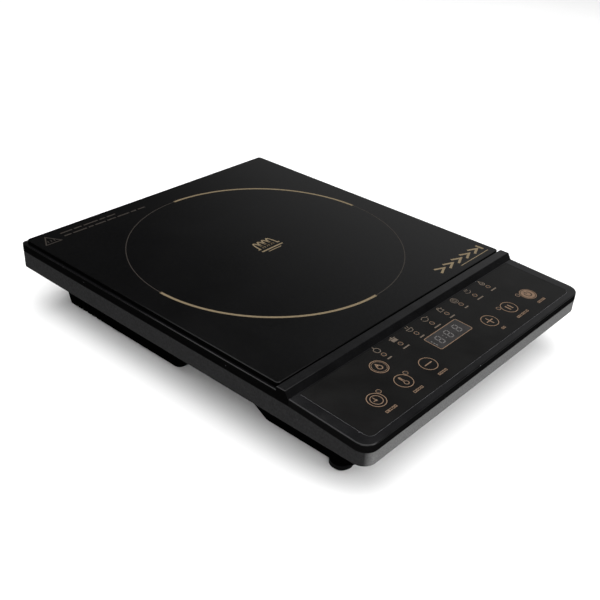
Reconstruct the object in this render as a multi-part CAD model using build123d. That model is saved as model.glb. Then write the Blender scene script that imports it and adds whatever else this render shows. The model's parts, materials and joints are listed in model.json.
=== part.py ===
"""Portable induction cooktop: a glass-topped case on two floor blocks with a sloped control panel.

Millimetres, +Z up, the feet stand on Z = 0. X runs to the user's right and the control panel
faces -Y. The origin is the middle of the footprint.
"""
import os
from math import atan, degrees, hypot

from build123d import *

# ---- driving dimensions -------------------------------------------------------------------
BODY_WIDTH = 285.0
BODY_DEPTH = 369.0
TOTAL_HEIGHT = 60.0
WALL = 2.4                  # moulded wall thickness
SEAM = 0.2                  # visible gap between two mouldings

GLASS_WIDTH = 280.0
GLASS_DEPTH = 286.0
GLASS_THICKNESS = 4.0
GLASS_CORNER = 3.0
GLASS_REAR_MARGIN = 5.0     # rear edge of the glass to the rear of the case
GLASS_SIDE_GAP = 0.15
SEAL_THICKNESS = 0.6
SEAL_WIDTH = 8.0
RIM_HEIGHT = 0.3            # the rim stands this far above the underside of the glass

PARTING_Z = 49.2            # joint between upper and lower mouldings
PARTING_FRONT_Z = 45.1      # the same joint at the front edge
REAR_CORNER = 3.6
FRONT_CORNER = 10.5

BAR_REAR_Y = -107.2         # ridge between the glass and the control panel
BAR_TOP_Y = -115.0
BAR_FOOT_Y = -118.2
BAR_TOP_Z = 59.5

PANEL_REAR_Z = 54.65        # height of the panel where it meets the ridge
PANEL_SLOPE = 0.05          # fall of the panel per millimetre towards the user
PANEL_EDGE_ROUND = 1.0
FILM_HALF_WIDTH = 132.6
FILM_LENGTH = 59.5
FILM_RECESS = 0.6
FILM_THICKNESS = 0.5
FILM_CORNER = 5.0

KEY_ROW = -39.6             # panel coordinate of the front row of keys
KEY_UPPER_ROW = -18.3
KEY_CAP_RADIUS = 7.3
KEY_HOLE_RADIUS = 7.5
KEY_FLANGE_RADIUS = 8.0
KEY_TRAVEL = 0.4
KEY_GAP = KEY_TRAVEL + 0.1  # key stem to switch button at rest
KEYS = {
    "key_timer": (-99.2, KEY_ROW),
    "key_warm": (-68.6, KEY_ROW),
    "key_function": (-68.6, KEY_UPPER_ROW),
    "key_down": (-39.3, KEY_ROW),
    "key_up": (43.3, KEY_ROW),
    "key_pause": (72.3, KEY_ROW),
    "key_power": (102.0, KEY_ROW),
}
KEYS_WITH_LAMP = ("key_timer", "key_warm", "key_pause", "key_power")
KEY_LAMP_SIDE = 8.3         # lamp beside a key, towards the middle of the panel
KEY_LAMP_REAR = 4.7
LAMP_ROW = -11.5
LAMP_FIRST_X = -54.3
LAMP_PITCH = 20.1
LAMP_COUNT = 8
LAMP_RADIUS = 1.3

DISPLAY_X = 3.6
DISPLAY_ROW = -28.1
DISPLAY_WIDTH = 41.0
DISPLAY_DEPTH = 15.4
DISPLAY_LEDGE = 1.5

HOUSING_INSET = 0.1         # lower case stands back from the upper mouldings
DECK_Z = 33.7               # underside of the shallow part of the lower case
HOUSING_TAPER = 0.6         # degrees, side walls of the lower case
HOUSING_DRAFT = 0.2         # how far that taper brings the walls in
BLOCK_BOTTOM_Z = 6.2        # underside of the two floor blocks
BLOCK_EDGE_ROUND = 2.6
REAR_BLOCK_HALF_WIDTH = 125.5
REAR_BLOCK_CORNERS = (5.0, 4.0)             # front and rear radius in plan
FRONT_BLOCK_HALF_WIDTH = 123.5
FRONT_BLOCK_CORNERS = (14.0, 5.0)
# Side outlines (Y, Z): front top, front bottom, rear bottom, rear top
REAR_BLOCK = ((-24.0, DECK_Z), (9.5, BLOCK_BOTTOM_Z), (146.4, BLOCK_BOTTOM_Z), (157.0, DECK_Z))
FRONT_BLOCK = ((-163.0, DECK_Z), (-159.7, BLOCK_BOTTOM_Z), (-79.0, BLOCK_BOTTOM_Z), (-29.0, DECK_Z))

LOUVRE_FIRST_Y = 105.5
LOUVRE_PITCH = 6.2
LOUVRE_WIDTH = 3.2
LOUVRE_LENGTH = 24.8
LOUVRE_COUNT = 6
EXHAUST_COUNT = 25

GRILLE_HUB_RADIUS = 8.0      # intake grille under the fan
GRILLE_SLOT = 4.2
GRILLE_RIB = 2.2
GRILLE_RINGS = 5
GRILLE_SPOKE = 4.0

FOOT_RADIUS = 8.5
FOOT_CHAMFER = 2.8
FOOT_PLUG_RADIUS = 3.0
FEET = {
    "foot_front_left": (-116.3, -146.3),
    "foot_front_right": (116.3, -146.3),
    "foot_rear_left": (-106.0, 126.0),
    "foot_rear_right": (106.0, 126.0),
}

CASE_SCREWS = [(-133.5, 160.0), (133.5, 160.0), (-133.5, -60.0), (133.5, -60.0)]
FRONT_SCREWS = [(-118.0, -172.5), (118.0, -172.5)]
SCREW_RADIUS = 1.5
SCREW_CLEARANCE = 0.1
SCREW_HEAD_RADIUS = 2.8
SCREW_HEAD_HEIGHT = 2.0
BOSS_RADIUS = 4.0

GLAND_X = -70.0
GLAND_RADIUS = 4.8
GLAND_BORE = 3.3            # radius, for a round lead
GLAND_FLANGE_RADIUS = 5.7
GLAND_FLANGE = 2.5

FAN_X, FAN_Y = 72.0, 78.0
FAN_SIZE = 80.0
FAN_HEIGHT = 20.0
FAN_BASE_Z = 14.6
FAN_DUCT_RADIUS = 38.0
BLADE_TIP_RADIUS = 36.5
BLADE_COUNT = 7
HUB_RADIUS = 14.0
SHAFT_RADIUS = 1.5
BEARING_CLEARANCE = 0.05

COIL_Z = 45.0               # underside of the coil former
FORMER_THICKNESS = 2.4
FORMER_RADIUS = 96.0
COIL_INNER = 30.0
COIL_PITCH = 4.4
COIL_TURNS = 14
WIRE_WIDTH = 3.6
WIRE_HEIGHT = 4.0
FERRITE_COUNT = 8
COIL_POSTS = [(-100.0, 25.0), (100.0, 25.0), (-72.0, -30.0), (72.0, -30.0), (0.0, 141.0)]
POST_RADIUS = 4.5

BOARD_THICKNESS = 1.6
MAIN_BOARD_Z = 18.0
MAIN_BOARD = (-85.0, 2.0, 22.0, 130.0)      # left, front, right, rear edges
CONTROL_BOARD_DEPTH = 11.0                  # underside of the control board below the panel
CONTROL_BOARD = (-112.0, -52.0, 112.0, -6.0)
SWITCH_HEIGHT = 4.3

# ---- dimensions that follow ---------------------------------------------------------------
HALF_WIDTH = BODY_WIDTH / 2
REAR_Y = BODY_DEPTH / 2
FRONT_Y = -BODY_DEPTH / 2
GLASS_Y = REAR_Y - GLASS_REAR_MARGIN - GLASS_DEPTH / 2
CUTOUT_Y = GLASS_Y - 22.7
GLASS_BOTTOM_Z = TOTAL_HEIGHT - GLASS_THICKNESS
REBATE_Z = GLASS_BOTTOM_Z - SEAL_THICKNESS
FRAME_FRONT_Y = BAR_REAR_Y + SEAM
COVER_REAR_Y = BAR_FOOT_Y - SEAM
FLOOR_Z = BLOCK_BOTTOM_Z + WALL
DECK_TOP_Z = DECK_Z + WALL
INSET_WALL_X = HALF_WIDTH - HOUSING_INSET
TRAY_INSET = HOUSING_INSET + HOUSING_DRAFT + WALL
PANEL_TILT = degrees(atan(PANEL_SLOPE))
PANEL = Location((0, COVER_REAR_Y, PANEL_REAR_Z), (PANEL_TILT, 0, 0))
FILM_TOP = FILM_THICKNESS - FILM_RECESS
PLATE_BOTTOM = -FILM_RECESS - WALL
CONTROL_BOARD_TOP = BOARD_THICKNESS - CONTROL_BOARD_DEPTH
BOARD_TOP = MAIN_BOARD_Z + BOARD_THICKNESS
TALL = 200.0                # longer than anything it cuts
STANDING = (Align.CENTER, Align.CENTER, Align.MIN)


def block(x0, y0, z0, x1, y1, z1):
    """A box between two opposite corners."""
    size = (x1 - x0, y1 - y0, z1 - z0)
    middle = ((x0 + x1) / 2, (y0 + y1) / 2, (z0 + z1) / 2)
    return Pos(*middle) * Box(*size)


def rod(x, y, z0, z1, radius):
    """An upright cylinder between two heights."""
    return Pos(x, y, (z0 + z1) / 2) * Cylinder(radius, z1 - z0)


def side_prism(points, half_width):
    """A solid with the given outline in the YZ plane, centred across X."""
    outline = Plane.YZ * make_face(Polyline(*points, close=True))
    return extrude(outline, half_width, both=True)


def rounded_plan(half_width, y_front, y_rear, front_corner, rear_corner):
    """A plan outline with different front and rear corner radii."""
    middle = (y_front + y_rear) / 2
    plan = Pos(0, middle) * Rectangle(2 * half_width, y_rear - y_front)
    corners = plan.vertices().sort_by(Axis.Y)
    if front_corner:
        plan = fillet(corners[:2], front_corner)
        corners = plan.vertices().sort_by(Axis.Y)
    if rear_corner:
        plan = fillet(corners[-2:], rear_corner)
    return plan


def slab(plan, z0, z1):
    """The plan outline raised between two heights."""
    return extrude(Pos(0, 0, z0) * plan, z1 - z0)


# ---- cooking surface ----------------------------------------------------------------------
def glass_plate():
    y0 = GLASS_Y - GLASS_DEPTH / 2
    plan = rounded_plan(GLASS_WIDTH / 2, y0, y0 + GLASS_DEPTH, GLASS_CORNER, GLASS_CORNER)
    glass = slab(plan, GLASS_BOTTOM_Z, TOTAL_HEIGHT)
    top_edges = glass.faces().sort_by(Axis.Z)[-1].edges()
    return fillet(top_edges, 0.7)


def glass_seal():
    outer = RectangleRounded(GLASS_WIDTH - 2, GLASS_DEPTH - 2, GLASS_CORNER)
    inner = RectangleRounded(GLASS_WIDTH - 2 * SEAL_WIDTH, GLASS_DEPTH - 2 * SEAL_WIDTH, 2)
    return Pos(0, GLASS_Y, REBATE_Z) * extrude(outer - inner, SEAL_THICKNESS)


def glass_frame():
    """Rim and shelf that carry the glass on three sides and support it at the front."""
    outline = rounded_plan(HALF_WIDTH, FRAME_FRONT_Y, REAR_Y, 0, REAR_CORNER)
    frame = slab(outline, PARTING_Z, GLASS_BOTTOM_Z + RIM_HEIGHT)
    rim = frame.faces().sort_by(Axis.Z)[-1].edges().filter_by(
        lambda e: e.center().Y > FRAME_FRONT_Y + SEAM)
    frame = fillet(rim, 0.8)
    pocket_half = GLASS_WIDTH / 2 + GLASS_SIDE_GAP
    pocket_rear = GLASS_Y + GLASS_DEPTH / 2 + GLASS_SIDE_GAP
    pocket = rounded_plan(pocket_half, FRAME_FRONT_Y - 1, pocket_rear, 0, GLASS_CORNER)
    shelf = 12.0
    opening = rounded_plan(pocket_half - shelf, FRAME_FRONT_Y + shelf, pocket_rear - shelf, 8, 8)
    under = rounded_plan(HALF_WIDTH - WALL, FRAME_FRONT_Y + WALL, REAR_Y - WALL, 0, 4)
    frame -= slab(pocket, REBATE_Z, TOTAL_HEIGHT)
    frame -= slab(opening, 0, TOTAL_HEIGHT)
    frame -= slab(under, 0, REBATE_Z - WALL)
    for x, y in CASE_SCREWS:
        frame += rod(x, y, PARTING_Z, REBATE_Z - WALL + 0.1, BOSS_RADIUS)
        frame -= rod(x, y, PARTING_Z - 1, REBATE_Z - 0.6, SCREW_RADIUS)
    return frame


# ---- ridge and control panel --------------------------------------------------------------
def divider_bar():
    outline = [
        (BAR_REAR_Y, PARTING_Z),
        (BAR_REAR_Y, BAR_TOP_Z),
        (BAR_TOP_Y, BAR_TOP_Z),
        (BAR_FOOT_Y, PANEL_REAR_Z - 0.3),
        (BAR_FOOT_Y, PARTING_Z),
    ]
    bar = side_prism(outline, HALF_WIDTH)
    crest = bar.edges().filter_by(lambda e: e.center().Z > BAR_TOP_Z - 0.05)
    bar = fillet(crest, 0.6)
    hollow = [
        (BAR_REAR_Y - 1.6, PARTING_Z - 1),
        (BAR_REAR_Y - 1.6, BAR_TOP_Z - WALL),
        (BAR_TOP_Y + 0.6, BAR_TOP_Z - WALL),
        (BAR_FOOT_Y + 1.8, PANEL_REAR_Z - 1.5),
        (BAR_FOOT_Y + 1.8, PARTING_Z - 1),
    ]
    return bar - side_prism(hollow, HALF_WIDTH - WALL)


def parting_height(y):
    """Height of the joint between the mouldings under the control panel."""
    return PARTING_Z + (y - COVER_REAR_Y) * (PARTING_Z - PARTING_FRONT_Z) / (COVER_REAR_Y - FRONT_Y)


def above_parting():
    """Everything above the case joint: level behind the panel, falling under it."""
    reach = 20.0
    points = [
        (REAR_Y + reach, PARTING_Z),
        (COVER_REAR_Y, PARTING_Z),
        (FRONT_Y - reach, parting_height(FRONT_Y - reach)),
        (FRONT_Y - reach, TALL),
        (REAR_Y + reach, TALL),
    ]
    return side_prism(points, TALL)


def panel_wedge(drop):
    """Everything under the plane that lies the given depth below the panel surface."""
    return PANEL * Pos(0, 0, -drop - TALL / 2) * Box(2 * TALL, 2 * TALL, TALL)


def key_positions():
    return [Pos(x, y) for x, y in KEYS.values()]


def lamp_positions():
    row = [Pos(LAMP_FIRST_X + LAMP_PITCH * i, LAMP_ROW) for i in range(LAMP_COUNT)]
    beside = []
    for name in KEYS_WITH_LAMP:
        x, y = KEYS[name]
        inward = KEY_LAMP_SIDE if x < 0 else -KEY_LAMP_SIDE
        beside.append(Pos(x + inward, y + KEY_LAMP_REAR))
    return row + beside


def film_outline(grow=0.0):
    rear = -0.8 + grow
    front = rear - FILM_LENGTH - 2 * grow
    return rounded_plan(FILM_HALF_WIDTH + grow, front, rear, FILM_CORNER + grow, 1.5)


def control_cover():
    outline = rounded_plan(HALF_WIDTH, FRONT_Y, COVER_REAR_Y, FRONT_CORNER, 0)
    cover = slab(outline, 0, TOTAL_HEIGHT + 10) & panel_wedge(0)
    cover &= above_parting()
    rim = cover.faces().sort_by(Axis.Z)[-1].edges().filter_by(
        lambda e: e.center().Y < COVER_REAR_Y - SEAM)
    cover = fillet(rim, PANEL_EDGE_ROUND)
    inside = rounded_plan(HALF_WIDTH - WALL, FRONT_Y + WALL, COVER_REAR_Y - WALL,
                          FRONT_CORNER - WALL, 1)
    cover -= slab(inside, 0, TOTAL_HEIGHT) & panel_wedge(-PLATE_BOTTOM)
    cover -= PANEL * slab(film_outline(0.15), -FILM_RECESS, 5)
    for x, y in FRONT_SCREWS:
        roof = PANEL_REAR_Z + PANEL_SLOPE * (y - COVER_REAR_Y) + PLATE_BOTTOM
        cover += rod(x, y, parting_height(y), roof + 0.2, BOSS_RADIUS)
        cover -= rod(x, y, parting_height(y) - 1, roof - 0.3, SCREW_RADIUS)
    for place in key_positions():
        cover -= PANEL * place * Cylinder(KEY_HOLE_RADIUS, 20)
    for place in lamp_positions():
        cover -= PANEL * place * Cylinder(LAMP_RADIUS + 0.1, 20)
    sight = Box(DISPLAY_WIDTH - 2 * DISPLAY_LEDGE, DISPLAY_DEPTH - 2 * DISPLAY_LEDGE, 20)
    return cover - PANEL * Pos(DISPLAY_X, DISPLAY_ROW) * sight


def control_film():
    film = slab(film_outline(), -FILM_RECESS, FILM_TOP)
    for place in key_positions():
        film -= place * Cylinder(KEY_HOLE_RADIUS, 5)
    for place in lamp_positions():
        film -= place * Cylinder(LAMP_RADIUS + 0.1, 5)
    film -= Pos(DISPLAY_X, DISPLAY_ROW) * Box(DISPLAY_WIDTH + 0.1, DISPLAY_DEPTH + 0.1, 5)
    return PANEL * film


def display_window():
    pane = Box(DISPLAY_WIDTH, DISPLAY_DEPTH, FILM_THICKNESS)
    return PANEL * Pos(DISPLAY_X, DISPLAY_ROW, -FILM_RECESS + FILM_THICKNESS / 2) * pane


def led_lenses():
    """Small clear light pipes, flush with the film, that carry the lamps to the surface."""
    length = FILM_TOP - PLATE_BOTTOM + 0.6
    lens = Pos(0, 0, FILM_TOP - length / 2) * Cylinder(LAMP_RADIUS, length)
    return Compound([PANEL * place * lens for place in lamp_positions()])


def key(x, y):
    """A flush cap with a retaining flange and a short stem over its switch."""
    cap_bottom = PLATE_BOTTOM - 0.3
    flange_bottom = cap_bottom - 0.7
    stem_bottom = CONTROL_BOARD_TOP + SWITCH_HEIGHT + KEY_GAP
    cap = Pos(x, y, (FILM_TOP + cap_bottom) / 2) * Cylinder(KEY_CAP_RADIUS, FILM_TOP - cap_bottom)
    flange = rod(x, y, flange_bottom, cap_bottom, KEY_FLANGE_RADIUS)
    stem = rod(x, y, stem_bottom, flange_bottom, 2.0)
    return PANEL * (cap + flange + stem)


# ---- lower case ---------------------------------------------------------------------------


def floor_block(outline, half_width, corners, inset=0.0):
    """One of the two deep boxes under the case; with an inset it is the hollow inside."""
    (y0, z0), (y1, z1), (y2, _), (y3, _) = outline
    top = z0 + 3.0
    bottom = z1 + inset
    lean_front = (y1 - y0) / (z1 - z0)
    lean_rear = (y2 - y3) / (z1 - z0)
    y0 += inset * hypot(1, lean_front)
    y3 -= inset * hypot(1, lean_rear)
    front = [y0 + lean_front * (z - z0) for z in (top, bottom)]
    rear = [y3 + lean_rear * (z - z0) for z in (bottom, top)]
    points = [(front[0], top), (front[1], bottom), (rear[0], bottom), (rear[1], top)]
    body = side_prism(points, half_width - inset)
    for end, radius in zip((slice(None, 2), slice(-2, None)), corners):
        sloped = body.edges().filter_by(lambda e: abs(e.tangent_at(0).Z) > 0.1)
        body = fillet(sloped.sort_by(Axis.Y)[end], radius - inset)
    base = body.faces().sort_by(Axis.Z)[0].edges()
    return fillet(base, max(BLOCK_EDGE_ROUND - inset, 0.8))


def rear_block(inset=0.0):
    return floor_block(REAR_BLOCK, REAR_BLOCK_HALF_WIDTH, REAR_BLOCK_CORNERS, inset)


def front_block(inset=0.0):
    return floor_block(FRONT_BLOCK, FRONT_BLOCK_HALF_WIDTH, FRONT_BLOCK_CORNERS, inset)


def housing_shell():
    """Shallow tray with tapered walls and the two floor blocks below it."""
    plan = rounded_plan(INSET_WALL_X, FRONT_Y + HOUSING_INSET, REAR_Y - HOUSING_INSET,
                        FRONT_CORNER, REAR_CORNER)
    depth = PARTING_Z - DECK_Z
    tray = extrude(Pos(0, 0, PARTING_Z) * plan, -depth, taper=HOUSING_TAPER)
    tray = fillet(tray.faces().sort_by(Axis.Z)[0].edges(), 1.2)
    shell = tray + rear_block() + front_block()
    hollow = rounded_plan(HALF_WIDTH - TRAY_INSET, FRONT_Y + TRAY_INSET, REAR_Y - TRAY_INSET,
                          FRONT_CORNER - WALL, REAR_CORNER - WALL)
    shell -= slab(hollow, DECK_TOP_Z, TALL)
    shell -= rear_block(WALL)
    shell -= front_block(WALL)
    return shell - above_parting()


def intake_grille():
    """Ring slots under the fan, broken by six spokes."""
    slots = Part()
    for ring in range(GRILLE_RINGS):
        inner = GRILLE_HUB_RADIUS + ring * (GRILLE_SLOT + GRILLE_RIB)
        annulus = Cylinder(inner + GRILLE_SLOT, 8) - Cylinder(inner, 9)
        slots += annulus
    spoke = Box(90, GRILLE_SPOKE, 20)
    slots -= spoke + Rot(0, 0, 60) * spoke + Rot(0, 0, 120) * spoke
    return Pos(FAN_X, FAN_Y, BLOCK_BOTTOM_Z) * slots


def side_louvres():
    """Upright slots that wrap over the lower edge of the rear block on both sides."""
    slots = Part()
    for i in range(LOUVRE_COUNT):
        y = LOUVRE_FIRST_Y + LOUVRE_PITCH * i
        for side in (-1, 1):
            x = side * REAR_BLOCK_HALF_WIDTH
            slots += Pos(x, y, BLOCK_BOTTOM_Z - 2) * Box(9, LOUVRE_WIDTH, LOUVRE_LENGTH, align=STANDING)
    return slots


def exhaust_louvres():
    """A row of upright slots through the rear wall of the rear block, clear of the coil post."""
    slots = Part()
    for i in range(EXHAUST_COUNT):
        x = (i - (EXHAUST_COUNT - 1) / 2) * LOUVRE_PITCH
        if abs(x) > POST_RADIUS + LOUVRE_WIDTH:
            slots += Pos(x, REAR_BLOCK[2][0], 22.0) * Box(LOUVRE_WIDTH, 16, 13)
    return slots


def lower_housing():
    housing = housing_shell()
    for x, y in CASE_SCREWS + FRONT_SCREWS:
        top = min(PARTING_Z, parting_height(y))
        housing += rod(x, y, DECK_TOP_Z - 0.5, top, BOSS_RADIUS)
        housing -= rod(x, y, 0, DECK_TOP_Z + 0.6, SCREW_HEAD_RADIUS + 0.3)
        housing -= rod(x, y, 0, top + 1, SCREW_RADIUS + SCREW_CLEARANCE)
    for x, y in COIL_POSTS:
        base = DECK_TOP_Z if y < REAR_BLOCK[0][0] else FLOOR_Z
        housing += rod(x, y, base - 0.5, COIL_Z, POST_RADIUS)
        housing -= rod(x, y, COIL_Z - 8, COIL_Z + 1, SCREW_RADIUS)
    for x, y in board_holes():
        housing += rod(x, y, FLOOR_Z - 0.5, MAIN_BOARD_Z, 3.2)
        housing -= rod(x, y, MAIN_BOARD_Z - 5, MAIN_BOARD_Z + 1, SCREW_RADIUS)
    for x, y in fan_holes():
        housing += rod(x, y, FLOOR_Z - 0.5, FAN_BASE_Z, 3.6)
        housing -= rod(x, y, FLOOR_Z - 0.4, FAN_BASE_Z + 1, SCREW_RADIUS)
    for x, y in FEET.values():
        housing -= rod(x, y, 0, FLOOR_Z + 5, FOOT_PLUG_RADIUS)
    for x, y in control_board_holes():
        housing += control_post(x, y)
    housing -= intake_grille()
    housing -= side_louvres()
    housing -= exhaust_louvres()
    housing -= Pos(GLAND_X, REAR_Y, gland_height()) * Rot(90, 0, 0) * Cylinder(GLAND_RADIUS, 20)
    return housing


def foot(x, y):
    """A rubber foot, bevelled underneath, with a plug pressed through the floor."""
    pad = rod(x, y, 0, BLOCK_BOTTOM_Z, FOOT_RADIUS)
    pad = chamfer(pad.faces().sort_by(Axis.Z)[0].edges(), FOOT_CHAMFER)
    plug = rod(x, y, BLOCK_BOTTOM_Z - 0.1, FLOOR_Z + 0.1, FOOT_PLUG_RADIUS)
    barb = rod(x, y, FLOOR_Z, FLOOR_Z + 1.2, FOOT_PLUG_RADIUS + 0.8)
    return pad + plug + barb


def screw(x, y, head_z, tip_z, head_radius=SCREW_HEAD_RADIUS):
    """A cross-head screw driven from the head towards the tip."""
    up = 1 if tip_z > head_z else -1
    head_low, head_high = sorted((head_z, head_z - up * SCREW_HEAD_HEIGHT))
    shank_low, shank_high = sorted((head_z, tip_z))
    body = rod(x, y, head_low, head_high, head_radius)
    body += rod(x, y, shank_low, shank_high, SCREW_RADIUS)
    face = head_z - up * SCREW_HEAD_HEIGHT
    for angle in (0, 90):
        body -= Pos(x, y, face) * Rot(0, 0, angle) * Box(head_radius * 1.2, 0.8, 1.6)
    return body


def case_screws():
    head_z = DECK_TOP_Z + 0.6
    frame = [screw(x, y, head_z, REBATE_Z - 0.8) for x, y in CASE_SCREWS]
    front = [screw(x, y, head_z, parting_height(y) + 2.4) for x, y in FRONT_SCREWS]
    return Compound(frame + front)


def gland_height():
    return (DECK_Z + PARTING_Z) / 2 + 0.6


def cord_gland():
    """A bushing in the rear wall, with its flange inside and its mouth flush with the case."""
    wall_inside = REAR_Y - TRAY_INSET
    length = TRAY_INSET - HOUSING_INSET
    bush = Pos(0, 0, length / 2) * Cylinder(GLAND_RADIUS, length)
    bush += Pos(0, 0, -GLAND_FLANGE / 2) * Cylinder(GLAND_FLANGE_RADIUS, GLAND_FLANGE)
    bush -= Cylinder(GLAND_BORE, TALL)
    return Pos(GLAND_X, wall_inside, gland_height()) * Rot(-90, 0, 0) * bush


def cord_clamp():
    """A moulded saddle on the deck, behind the gland, that would grip a lead."""
    y = REAR_Y - 20.0
    saddle = block(GLAND_X - 11, y - 5, DECK_TOP_Z, GLAND_X + 11, y + 5, gland_height() + 5)
    bore = Pos(GLAND_X, y, gland_height()) * Rot(90, 0, 0) * Cylinder(GLAND_BORE, 20)
    saddle -= bore
    for side in (-1, 1):
        saddle -= rod(GLAND_X + side * 8, y, gland_height(), gland_height() + 6, SCREW_HEAD_RADIUS)
    return saddle


def rating_plate():
    """A blank metal label under the rear block."""
    label = RectangleRounded(56, 32, 3)
    return Pos(-45, 70, BLOCK_BOTTOM_Z - 0.3) * extrude(label, 0.3)


# ---- heating ------------------------------------------------------------------------------
def coil_former():
    """A spoked tray that carries the winding, with four ears on the posts."""
    disc = Cylinder(FORMER_RADIUS, FORMER_THICKNESS) - Cylinder(16, 9)
    window = Cylinder(FORMER_RADIUS - 8, 9) - Cylinder(26, 10)
    for i in range(FERRITE_COUNT):
        window -= Rot(0, 0, 45.0 * i + 22.5) * Pos(60, 0) * Box(120, 20, 20)
    former = Pos(0, GLASS_Y, COIL_Z + FORMER_THICKNESS / 2) * (disc - window)
    former -= rod(0, CUTOUT_Y, COIL_Z - 1, COIL_Z + 9, 2.6)
    for x, y in COIL_POSTS:
        former += coil_ear(x, y)
        former -= rod(x, y, COIL_Z - 1, COIL_Z + 9, SCREW_RADIUS + SCREW_CLEARANCE)
    return former


def coil_ear(x, y):
    """A tab from the edge of the former to one post."""
    dx, dy = x, y - GLASS_Y
    reach = (dx ** 2 + dy ** 2) ** 0.5
    start = FORMER_RADIUS - 4
    tab = Pos((start + reach) / 2, 0) * Box(reach - start, 12, FORMER_THICKNESS)
    tab += Pos(reach, 0) * Cylinder(6, FORMER_THICKNESS)
    heading = Vector(dx, dy, 0).get_signed_angle(Vector(1, 0, 0), Vector(0, 0, -1))
    return Pos(0, GLASS_Y, COIL_Z + FORMER_THICKNESS / 2) * Rot(0, 0, heading) * tab


def coil_winding():
    """A flat spiral of stranded wire, drawn as half turns that meet tangentially."""
    arcs = []
    radius = COIL_INNER
    x = radius
    for half in range(2 * COIL_TURNS):
        heading = 1 if half % 2 == 0 else -1
        centre = x - heading * radius
        start_angle = 0 if half % 2 == 0 else 180
        arcs.append(CenterArc((centre, 0), radius, start_angle, 180))
        x = centre - heading * radius
        radius += COIL_PITCH / 2
    band = trace(Curve() + arcs, line_width=WIRE_WIDTH)
    return Pos(0, GLASS_Y, COIL_Z + FORMER_THICKNESS) * extrude(band, WIRE_HEIGHT)


def insulation_sheet():
    z0 = COIL_Z + FORMER_THICKNESS + WIRE_HEIGHT
    disc = rod(0, GLASS_Y, z0, z0 + 0.6, FORMER_RADIUS)
    return disc - rod(0, GLASS_Y, z0 - 1, z0 + 2, 20)


def ferrite_bars():
    bar = Pos(59, 0, COIL_Z - 2) * Box(54, 13, 4)
    return Compound([Pos(0, GLASS_Y) * Rot(0, 0, 45.0 * i + 22.5) * bar
                     for i in range(FERRITE_COUNT)])


def coil_screws():
    head_z = COIL_Z + FORMER_THICKNESS
    return Compound([screw(x, y, head_z, COIL_Z - 6) for x, y in COIL_POSTS])


def thermistor_holder():
    """A silicone cup in the middle of the coil that presses the sensor on the glass."""
    cup = rod(0, GLASS_Y, COIL_Z - 3, GLASS_BOTTOM_Z, 9)
    cup += rod(0, GLASS_Y, COIL_Z + FORMER_THICKNESS, COIL_Z + FORMER_THICKNESS + 1.6, 19)
    cup -= rod(0, GLASS_Y, COIL_Z - 4, GLASS_BOTTOM_Z - 3, 5.0)
    return cup - rod(0, GLASS_Y, 0, TALL, 2.0)


def thermistor():
    """Sensor bead against the glass, on two stiff wires."""
    bead = Pos(0, GLASS_Y, GLASS_BOTTOM_Z - 2.0) * Sphere(1.95)
    for side in (-1, 1):
        bead += rod(side * 0.8, GLASS_Y, COIL_Z - 2, GLASS_BOTTOM_Z - 2.5, 0.4)
    return bead


def thermal_cutout():
    """Over-temperature switch clipped into the former beside the centre."""
    seat = COIL_Z + FORMER_THICKNESS
    can = rod(0, CUTOUT_Y, seat, seat + 3.4, 3.5)
    for side in (-1, 1):
        can += rod(side * 1.4, CUTOUT_Y, COIL_Z - 4, seat + 0.2, 0.5)
    return can


# ---- power electronics --------------------------------------------------------------------
def board_holes():
    left, front, right, rear = MAIN_BOARD
    return [(x, y) for x in (left + 5, right - 5) for y in (front + 5, rear - 5)]


def main_board():
    left, front, right, rear = MAIN_BOARD
    board = block(left, front, MAIN_BOARD_Z, right, rear, MAIN_BOARD_Z + BOARD_THICKNESS)
    for x, y in board_holes():
        board -= rod(x, y, 0, TALL, SCREW_RADIUS + SCREW_CLEARANCE)
    return board


def board_screws():
    head_z = MAIN_BOARD_Z + BOARD_THICKNESS
    return Compound([screw(x, y, head_z, MAIN_BOARD_Z - 4) for x, y in board_holes()])


def heatsink():
    """Extruded aluminium: a base on edge with fins towards the fan."""
    sink = block(-8, 50, BOARD_TOP, -4, 116, BOARD_TOP + 20)
    for i in range(5):
        z = BOARD_TOP + 1 + 4.4 * i
        sink += block(-4.5, 50, z, 16, 116, z + 1.4)
    return sink


def transistor():
    """Power switch, flat against the sink."""
    return block(-13, 92, BOARD_TOP + 2, -8, 108, BOARD_TOP + 20)


def bridge_rectifier():
    return block(-14, 58, BOARD_TOP + 2, -8, 82, BOARD_TOP + 18)


def resonant_capacitor():
    can = block(-50, 96, BOARD_TOP, -22, 120, BOARD_TOP + 18)
    return fillet(can.edges().filter_by(Axis.Z), 2)


def filter_capacitor():
    can = block(-50, 62, BOARD_TOP, -22, 88, BOARD_TOP + 18)
    return fillet(can.edges().filter_by(Axis.Z), 2)


def choke_coil():
    """Toroidal choke lying on the board."""
    ring = Torus(11.0, 4.5)
    return Pos(-66, 104, BOARD_TOP + 4.5) * ring


def fuse():
    body = Pos(-66, 20, BOARD_TOP + 3.5) * Rot(90, 0, 0) * Cylinder(2.6, 20)
    for y in (9.5, 30.5):
        body += block(-69, y - 2.5, BOARD_TOP, -63, y + 2.5, BOARD_TOP + 6.8)
    return body


def transformer():
    core = block(-40, 12, BOARD_TOP + 2, -14, 34, BOARD_TOP + 18)
    core += block(-38, 8, BOARD_TOP, -16, 38, BOARD_TOP + 3)
    return core


def terminal_posts():
    """Screw posts for the two ends of the coil."""
    posts = []
    for y in (14, 32):
        post = rod(8, y, BOARD_TOP, BOARD_TOP + 9, 3.5)
        posts.append(post + block(3, y - 5, BOARD_TOP, 13, y + 5, BOARD_TOP + 1.5))
    return Compound(posts)


# ---- fan ----------------------------------------------------------------------------------
def fan_holes():
    reach = FAN_SIZE / 2 - 5
    return [(FAN_X + sx * reach, FAN_Y + sy * reach) for sx in (-1, 1) for sy in (-1, 1)]


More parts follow.
